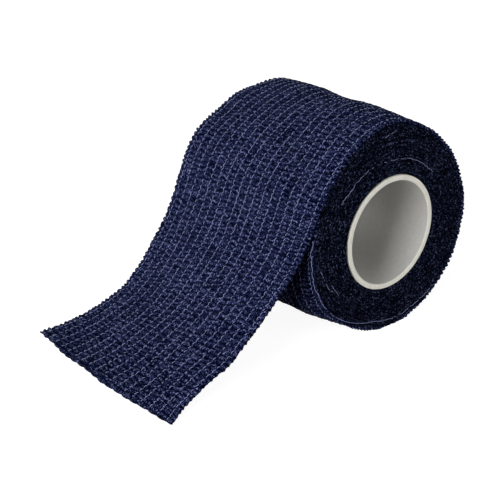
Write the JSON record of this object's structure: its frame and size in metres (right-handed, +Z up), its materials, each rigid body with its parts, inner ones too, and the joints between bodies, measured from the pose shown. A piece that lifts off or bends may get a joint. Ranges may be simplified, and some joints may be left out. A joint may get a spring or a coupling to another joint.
{
  "type": "hand wrap",
  "caption": "Roll of stretchy crepe hand-wrap tape on a paperboard core, with its free end peeled away and lying on the surface it rests on.",
  "frame": {"origin": "centre of the core's bore, halfway along it", "axes": "+Y along the bore, away from the end face that shows; +Z up with the roll resting on its side; the free end leads off towards -X"},
  "size_m": [0.0931, 0.05, 0.0518],
  "materials": {
    "core_paper": "matte spiral-wound liner paper",
    "core_board": "matte wound paperboard with cut edges",
    "crepe_tape": "crinkled navy nonwoven laminate, faint latex sheen",
    "crepe_web": "crinkled navy nonwoven web, faint latex sheen",
    "elastic_thread": "pale blue-grey covered elastic"
  },
  "bodies": {
    "roll": {"core_inner_ply": "core_paper", "core_middle_ply": "core_board", "core_outer_ply": "core_board", "wound_strip": "crepe_tape", "outer_turn": "crepe_tape"},
    "tail": {"tail_inner_web": "crepe_web", "tail_outer_web": "crepe_web", "tail_thread_01": "elastic_thread", "tail_thread_02": "elastic_thread", "tail_thread_03": "elastic_thread", "tail_thread_04": "elastic_thread", "tail_thread_05": "elastic_thread", "tail_thread_06": "elastic_thread", "tail_thread_07": "elastic_thread", "tail_thread_08": "elastic_thread", "tail_thread_09": "elastic_thread", "tail_thread_10": "elastic_thread", "tail_thread_11": "elastic_thread", "tail_thread_12": "elastic_thread", "tail_thread_13": "elastic_thread", "tail_thread_14": "elastic_thread", "tail_thread_15": "elastic_thread", "tail_thread_16": "elastic_thread", "tail_thread_17": "elastic_thread", "tail_thread_18": "elastic_thread"},
    "tail_end": {"tail_end_inner_web": "crepe_web", "tail_end_outer_web": "crepe_web", "tail_end_thread_01": "elastic_thread", "tail_end_thread_02": "elastic_thread", "tail_end_thread_03": "elastic_thread", "tail_end_thread_04": "elastic_thread", "tail_end_thread_05": "elastic_thread", "tail_end_thread_06": "elastic_thread", "tail_end_thread_07": "elastic_thread", "tail_end_thread_08": "elastic_thread", "tail_end_thread_09": "elastic_thread", "tail_end_thread_10": "elastic_thread", "tail_end_thread_11": "elastic_thread", "tail_end_thread_12": "elastic_thread", "tail_end_thread_13": "elastic_thread", "tail_end_thread_14": "elastic_thread", "tail_end_thread_15": "elastic_thread", "tail_end_thread_16": "elastic_thread", "tail_end_thread_17": "elastic_thread", "tail_end_thread_18": "elastic_thread"}
  },
  "joints": [
    {"name": "tail_peel", "type": "hinge", "parent": "roll", "child": "tail", "pos_m": [-0.0241, 0, 0.00909], "axis": [0, 1, 0], "range_deg": [0, 75]},
    {"name": "tail_end_lift", "type": "hinge", "parent": "tail", "child": "tail_end", "pos_m": [-0.05159, 0, -0.02043], "axis": [0, 1, 0], "range_deg": [0, 65]}
  ]
}
